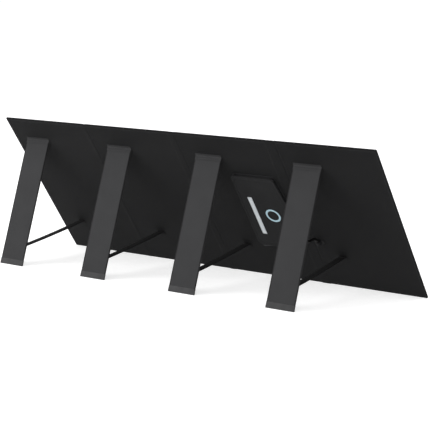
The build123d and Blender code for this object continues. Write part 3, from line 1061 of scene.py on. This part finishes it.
def make_pocket_walls():
    """Soft side wall: a sewn flange on the panel, a curved rise and a rolled top."""
    rim = local_box(PANEL, "pocket_walls")[0][2]
    points, out = pocket_outline()
    profile = [
        (3.0 * MM, 0.1 * MM), (3.0 * MM, -0.5 * MM), (2.4 * MM, -0.9 * MM), (0.9 * MM, -1.3 * MM),
        (0.15 * MM, -2.4 * MM), (-0.25 * MM, 0.5 * rim), (0.0, rim + 0.8 * MM), (-0.2 * MM, rim + 0.1 * MM),
        (-1.3 * MM, rim + 0.1 * MM), (-1.6 * MM, 0.5 * rim), (-1.6 * MM, 0.1 * MM),
    ]
    add_piece(
        "pocket_side_wall", carried_round(PANEL, (0, 0), points, out, profile), "pocket",
        "section_3", ["pocket_walls"])
    add_piece(
        "pocket_flange_stitches",
        stitch_line(PANEL, points + 1.8 * MM * out, -0.95 * MM, -1.0), "thread",
        "section_3")


def make_pocket_zip():
    """Zip round the rim: tape, and a coil of small teeth on the three sides that open."""
    low, high = local_box(PANEL, "pocket_zip")
    points, out = pocket_outline()
    near, far = low[2] + 0.1 * MM, high[2] - 0.1 * MM
    lip, inside = 0.15 * MM, -3.5 * MM
    tape = carried_round(
        PANEL, (0, 0), points, out, [(lip, near), (lip, far), (inside, far), (inside, near)])
    hinge_start = np.argmax(points[:, 0] > high[0] - 0.1 * MM)
    opening = np.roll(points, -hinge_start - POCKET_CORNER_STEPS - 1, axis=0)
    line = opening[opening[:, 0] < high[0] - 1.0 * MM]
    flat = np.concatenate((line, np.full((len(line), 1), (low[2] + high[2]) / 2)), 1)
    tooth_pitch, tooth_height = 2.0 * MM, 0.9 * MM
    places, along = evenly(flat, tooth_pitch, False)
    template, faces = ribbon_template(1.2 * MM, 1.0 * MM, tooth_height)
    across = np.cross(along, (0.0, 0.0, 1.0))
    teeth = repeated(
        template - (0.0, 0.0, tooth_height / 2), faces, to_world(PANEL, places + 0.25 * MM * across),
        along @ PANEL.axes, np.broadcast_to(PANEL.axes[2], places.shape))
    add_piece(
        "pocket_zip_coil", join_shapes([tape, teeth]), "coil", "section_3", ["pocket_zip"])


def make_pocket_cover():
    """Pressed cover: a rolled edge, a pressed channel inside it and a low crown between."""
    low, high = local_box(PANEL, "pocket_cover")
    points, _ = pocket_outline()
    centre = (low + high)[:2] / 2
    # The rings of points shrink towards the centre: their inset is measured at the long sides.
    reach = 84.5 * MM
    near = np.array((0.0, 0.1, 0.35, 0.8, 1.4, 2.5, 4.5, 6.0, 7.0, 8.0, 9.0, 10.5, 14.0, 20.0, 30.0)) * MM
    inset = np.concatenate((near, np.linspace(40 * MM, reach, 6)[:-1]))
    share = 1 - inset / reach
    ring = centre + share[:, None, None] * (points - centre)
    depth = (high - low)[2] / 2
    full = quarter_round(inset, 1.4 * MM)
    crown = 0.9 * MM * smooth_step((inset - 9 * MM) / (45 * MM))
    channel = 0.55 * MM * groove(inset, 8 * MM, 1.4 * MM)
    outer = (low[2] + high[2]) / 2 - depth * full - crown + channel
    inner = (low[2] + high[2]) / 2 + depth * full
    count = len(points)
    rows = len(inset)

    def side(z, rows_from):
        """The rings from one row on, at one side's heights."""
        z = np.broadcast_to(z[:, None, None], ring.shape[:2] + (1,))
        return np.concatenate((ring, z), -1)[rows_from:].reshape(-1, 3)

    local = np.concatenate((
        side(outer, 0), side(inner, 1), [(*centre, outer[-1])], [(*centre, inner[-1])]))
    first = np.arange(rows * count).reshape(rows, count)
    second = np.concatenate((first[:1], rows * count + np.arange((rows - 1) * count).reshape(-1, count)))
    groups = []
    for index, pole, flip in ((first, len(local) - 2, False), (second, len(local) - 1, True)):
        wrapped = closed_rows(index)
        sides = quads(wrapped)
        fan = np.stack((np.full(count, pole), wrapped[-1, 1:], wrapped[-1, :-1]), -1)
        groups += [sides[:, ::-1], fan[:, ::-1]] if flip else [sides, fan]
    shape = outward(Shape(to_world(PANEL, local), groups, local[:, :2].copy()))
    add_piece("pocket_face", shape, "pocket", "pocket_cover", ["pocket_cover"])


def make_pocket_trim():
    """What lies on the cover: a blank woven label, sewn on round its edge, and a plain ring badge."""
    face = local_box(PANEL, "pocket_cover")[0][2]
    centre, size = np.array((-187, 275)) * MM, np.array((15, 150)) * MM
    label = slab(
        PANEL, centre, size, face - 1.35 * MM, face + 0.3 * MM, 1 * MM, 0.3 * MM, (3 * MM, 6 * MM))
    add_piece("pocket_label", label, "label", "pocket_cover")
    line, _ = rounded_loop(size - 2 * 1.3 * MM, 1 * MM, 2)
    add_piece(
        "pocket_label_stitches",
        stitch_line(PANEL, line + centre, face - 1.4 * MM, -1.0, pitch=2.2 * MM, radius=0.2 * MM),
        "thread", "pocket_cover")
    badge = make_badge((-246 * MM, 283 * MM), 25 * MM, face - 0.9 * MM)
    add_piece("pocket_badge", badge, "badge", "pocket_cover")


def make_badge(centre, radius, face):
    """A plain moulded ring, flat on the cover, with rounded edges."""
    angle = np.linspace(0, 2 * math.pi, 64, endpoint=False)
    out = np.stack((np.cos(angle), np.sin(angle)), -1)
    width = 6.4 * MM
    edge = [(0.0, 0.6 * MM), (0.0, -0.3 * MM), (0.5 * MM, -0.75 * MM), (1.4 * MM, -0.85 * MM)]
    profile = [(-inset, face + z) for inset, z in edge]
    profile += [(inset - width, face + z) for inset, z in reversed(edge)]
    return carried_round(PANEL, centre, radius * out, out, profile)


def make_zip_slider():
    """Slider body on the zip and the flat pull that hangs from its bridge."""
    low, high = local_box(PANEL, "pocket_zip_slider")
    v = (low[1] + high[1]) / 2
    length = 11 * MM
    body_x = high[0] - length / 2
    z = (low[2] + high[2]) / 2
    body = slab(
        PANEL, (body_x, v), (length, high[1] - low[1]), low[2], high[2], 1.4 * MM, 1.2 * MM,
        (1.2 * MM, 0.8 * MM))
    pull_x = (low[0] + high[0] - length) / 2
    pull = slab(
        PANEL, (pull_x, v), (high[0] - length - low[0] + 2 * MM, 3.8 * MM), z - 0.1 * MM, z + 1.2 * MM,
        1.7 * MM, 0.6 * MM, (1.6 * MM, 0.8 * MM))
    add_piece(
        "pocket_slider_and_pull", join_shapes([body, pull]), "zinc", "zip_slider",
        ["pocket_zip_slider"])


# ---------------------------------------------------------------- handle


# Half of the hoop's line, from one end to the middle: how far up it is, and how far off the back, in mm.
HANDLE_HEIGHTS = (0.0, 8.0, 16.0, 27.0, 37.0, 43.5, 50.0, 59.0, 78.0)
HANDLE_DEPTHS = (0.0, 0.0, 0.3, 5.0, 11.5, 24.0, 37.0, 45.5, 49.3)


def make_handle():
    """Soft hoop: straight ends in the loops, a bowed leg each side and a ribbed sleeve at the grip."""
    low, high = local_box(PANEL, "carry_handle")
    x = (low[0] + high[0]) / 2
    radius = (high[0] - low[0]) / 2
    axis = high[2] - radius
    rise = np.array(HANDLE_HEIGHTS) * MM
    depth = np.array(HANDLE_DEPTHS) * MM
    v = np.concatenate((low[1] + rise, high[1] - rise[::-1]))
    z = axis - np.concatenate((depth, depth[::-1]))
    path = to_world(PANEL, smooth_path(at_x(x, np.stack((v, z), -1)), 6))
    add_piece(
        "handle_hoop", swept(path, ACROSS, round_section(radius)), "grip", "handle",
        ["carry_handle"])
    middle = path[len(path) // 2 - 18 : len(path) // 2 + 19]
    t = np.linspace(0, 1, 121)
    fine = between_points(middle, np.linspace(0, 1, len(middle)), t)
    ends = quarter_round(np.minimum(t, 1 - t), 0.02)
    rib_count, tapered = 32, 0.92
    ribs = 1.0 + 0.05 * np.sin(t * math.pi * rib_count) ** 2
    scale = tapered + (ribs - tapered) * ends
    add_piece(
        "handle_sleeve", swept(fine, ACROSS, round_section(radius, 20), scale), "grip", "handle")


def make_handle_loops():
    """Webbing that wraps each end of the hoop and is sewn down flat on both sides of it."""
    low, high = local_box(PANEL, "handle_loops")
    hoop_low, hoop_high = local_box(PANEL, "carry_handle")
    x = (low[0] + high[0]) / 2
    radius = (hoop_high[0] - hoop_low[0]) / 2
    axis = hoop_high[2] - radius
    wrap = radius + 1.2 * MM
    shapes, rows = [], []
    for v in (hoop_low[1] + 8.5 * MM, hoop_high[1] - 8.5 * MM):
        half = [
            (17.0 * MM, -0.8 * MM), (12.0 * MM, -0.8 * MM), (8.5 * MM, -0.9 * MM),
            (wrap * 1.05, -2.6 * MM), (wrap * 1.12, axis), (wrap * 0.95, axis - wrap * 0.9),
        ]
        crown = [(0.0, axis - wrap * 1.22)]
        outline = [(-dx, z) for dx, z in half] + crown + [(dx, z) for dx, z in reversed(half)]
        controls = [(x + dx, v, z) for dx, z in outline]
        path = to_world(PANEL, smooth_path(controls, 5))
        shapes.append(swept(path, PANEL.axes[1], strap_section(14 * MM, 1.1 * MM)))
        for side in (-1, 1):
            centre = (x + side * 12.8 * MM, v)
            rows.append(boxed_stitches(PANEL, centre, (6 * MM, 10 * MM), -1.35 * MM))
    add_piece(
        "handle_webbing_loops", join_shapes(shapes), "loop", "section_4", ["handle_loops"])
    add_piece("handle_loop_stitches", join_shapes(rows), "thread", "section_4")


# ---------------------------------------------------------------- stage


def add_area_light(name, location, target, size, power):
    """A large square soft light at a place, facing a point."""
    light = bpy.data.lights.new(name, "AREA")
    light.shape = "SQUARE"
    light.size = size
    light.energy = power
    lamp = bpy.data.objects.new(name, light)
    bpy.context.scene.collection.objects.link(lamp)
    aim = (Vector(target) - Vector(location)).to_track_quat("-Z", "Y")
    lamp.matrix_world = Matrix.Translation(location) @ aim.to_matrix().to_4x4()


def add_floor():
    """A wide round floor, dead level."""
    rings = np.array((0.0001, 1.0, 3.0, 9.0, 30.0))
    angle = np.linspace(0, 2 * math.pi, 64, endpoint=False)
    disc = rings[:, None, None] * np.stack((np.cos(angle), np.sin(angle)), -1)
    vertices = np.concatenate((disc, np.full(disc.shape[:2] + (1,), -0.2 * MM)), -1).reshape(-1, 3)
    index = np.arange(len(vertices)).reshape(disc.shape[:2])
    mesh = bpy.data.meshes.new("studio_floor")
    faces = quads(closed_rows(index)).tolist() + [index[0].tolist()]
    mesh.from_pydata(vertices.tolist(), [], faces)
    mesh.materials.append(studio_floor())
    floor = bpy.data.objects.new("studio_floor", mesh)
    bpy.context.scene.collection.objects.link(floor)


def add_world(strength):
    """An even white studio all round."""
    world = bpy.data.worlds.new("studio")
    world.use_nodes = True
    background = world.node_tree.nodes["Background"]
    background.inputs["Color"].default_value = (1.0, 1.0, 1.0, 1.0)
    background.inputs["Strength"].default_value = strength
    bpy.context.scene.world = world


def add_camera():
    """A long lens about 4 m behind the panel and to one side, which looks a little down."""
    heading, dip, roll = math.radians(34.975), math.radians(8.306), math.radians(1.490)
    forward = Vector((
        math.sin(heading) * math.cos(dip), -math.cos(heading) * math.cos(dip), -math.sin(dip)))
    right = Vector((-math.cos(heading), -math.sin(heading), 0.0))
    up = right.cross(forward)
    turned_right = math.cos(roll) * right + math.sin(roll) * up
    turned_up = math.cos(roll) * up - math.sin(roll) * right
    camera = bpy.data.cameras.new("camera")
    camera.lens = 116.87
    camera.sensor_width = 36.0
    camera.clip_end = 100.0
    view = bpy.data.objects.new("camera", camera)
    bpy.context.scene.collection.objects.link(view)
    lower_edge = PANEL.origin[1]
    location = Vector((-2.4362, 3.6121 + lower_edge, 0.8085))
    rotation = Matrix((turned_right, turned_up, -forward)).transposed().to_4x4()
    view.matrix_world = Matrix.Translation(location) @ rotation
    bpy.context.scene.camera = view


# ---------------------------------------------------------------- operators


class SOLARPANEL_OT_materials(bpy.types.Operator):
    """Make every material of the panel"""
    bl_idname = "solar_panel.materials"
    bl_label = "Materials"

    def execute(self, context):
        MATERIALS.update(make_materials())
        dress_nodes()
        return {"FINISHED"}


class SOLARPANEL_OT_covers(bpy.types.Operator):
    """Make the back cover and the front border of each section"""
    bl_idname = "solar_panel.covers"
    bl_label = "Section covers"

    def execute(self, context):
        for number in SECTIONS:
            make_section_cover(number)
            make_front_border(number)
        return {"FINISHED"}


class SOLARPANEL_OT_ribbons(bpy.types.Operator):
    """Make the ribbons on the cells"""
    bl_idname = "solar_panel.ribbons"
    bl_label = "Cell ribbons"

    def execute(self, context):
        for number in SECTIONS:
            make_ribbons(number)
        return {"FINISHED"}


class SOLARPANEL_OT_spines(bpy.types.Operator):
    """Make the cloth that joins the sections"""
    bl_idname = "solar_panel.spines"
    bl_label = "Folds and spines"

    def execute(self, context):
        make_spines()
        return {"FINISHED"}


class SOLARPANEL_OT_stands(bpy.types.Operator):
    """Make the four stands with their tape, shoes and hinge bands"""
    bl_idname = "solar_panel.stands"
    bl_label = "Stands"

    def execute(self, context):
        for number in SECTIONS:
            make_stand_panel(number)
            make_stand_foot(number)
            make_hinge_band(number)
        return {"FINISHED"}


class SOLARPANEL_OT_tethers(bpy.types.Operator):
    """Make the webbing that stops each stand"""
    bl_idname = "solar_panel.tethers"
    bl_label = "Tethers"

    def execute(self, context):
        for number in SECTIONS:
            make_tether(number)
        return {"FINISHED"}


class SOLARPANEL_OT_pocket(bpy.types.Operator):
    """Make the zipped pocket"""
    bl_idname = "solar_panel.pocket"
    bl_label = "Pocket"

    def execute(self, context):
        make_pocket_walls()
        make_pocket_zip()
        make_pocket_cover()
        make_pocket_trim()
        make_zip_slider()
        return {"FINISHED"}


class SOLARPANEL_OT_handle(bpy.types.Operator):
    """Make the carry handle and the loops that hold it"""
    bl_idname = "solar_panel.handle"
    bl_label = "Carry handle"

    def execute(self, context):
        make_handle()
        make_handle_loops()
        return {"FINISHED"}


class SOLARPANEL_OT_stage(bpy.types.Operator):
    """Make the floor, the lights and the camera"""
    bl_idname = "solar_panel.stage"
    bl_label = "Stage"

    def execute(self, context):
        s = settings()
        add_camera()
        add_floor()
        add_world(s.sky_strength)
        add_area_light("key_light", (2.5, 3.1, 2.6), (0.0, 0.0, 0.2), 2.4, s.key_power)
        bpy.context.scene.view_settings.view_transform = "Standard"
        return {"FINISHED"}


class SOLARPANEL_PT_sidebar(bpy.types.Panel):
    """The panel's settings and steps in the sidebar"""
    bl_label = "Solar Panel"
    bl_idname = "SOLARPANEL_PT_sidebar"
    bl_space_type = "VIEW_3D"
    bl_region_type = "UI"
    bl_category = "Solar Panel"

    def draw(self, context):
        for name in SolarPanelSettings.__annotations__:
            self.layout.prop(context.scene.solar_panel, name)
        for step in STEPS:
            self.layout.operator(step.bl_idname)


STEPS = (
    SOLARPANEL_OT_stage,
    SOLARPANEL_OT_materials,
    SOLARPANEL_OT_covers,
    SOLARPANEL_OT_ribbons,
    SOLARPANEL_OT_spines,
    SOLARPANEL_OT_stands,
    SOLARPANEL_OT_tethers,
    SOLARPANEL_OT_pocket,
    SOLARPANEL_OT_handle,
)


def register():
    """Registers the settings, the steps and the sidebar."""
    for kind in (SolarPanelSettings, *STEPS, SOLARPANEL_PT_sidebar):
        bpy.utils.register_class(kind)
    bpy.types.Scene.solar_panel = PointerProperty(type=SolarPanelSettings)


def unregister():
    """Takes them away again."""
    del bpy.types.Scene.solar_panel
    for kind in reversed((SolarPanelSettings, *STEPS, SOLARPANEL_PT_sidebar)):
        bpy.utils.unregister_class(kind)


def main():
    """Builds the panel step by step."""
    register()
    for step in STEPS:
        group, name = step.bl_idname.split(".")
        getattr(getattr(bpy.ops, group), name)()
    bpy.context.view_layer.update()


if __name__ == "__main__":
    main()
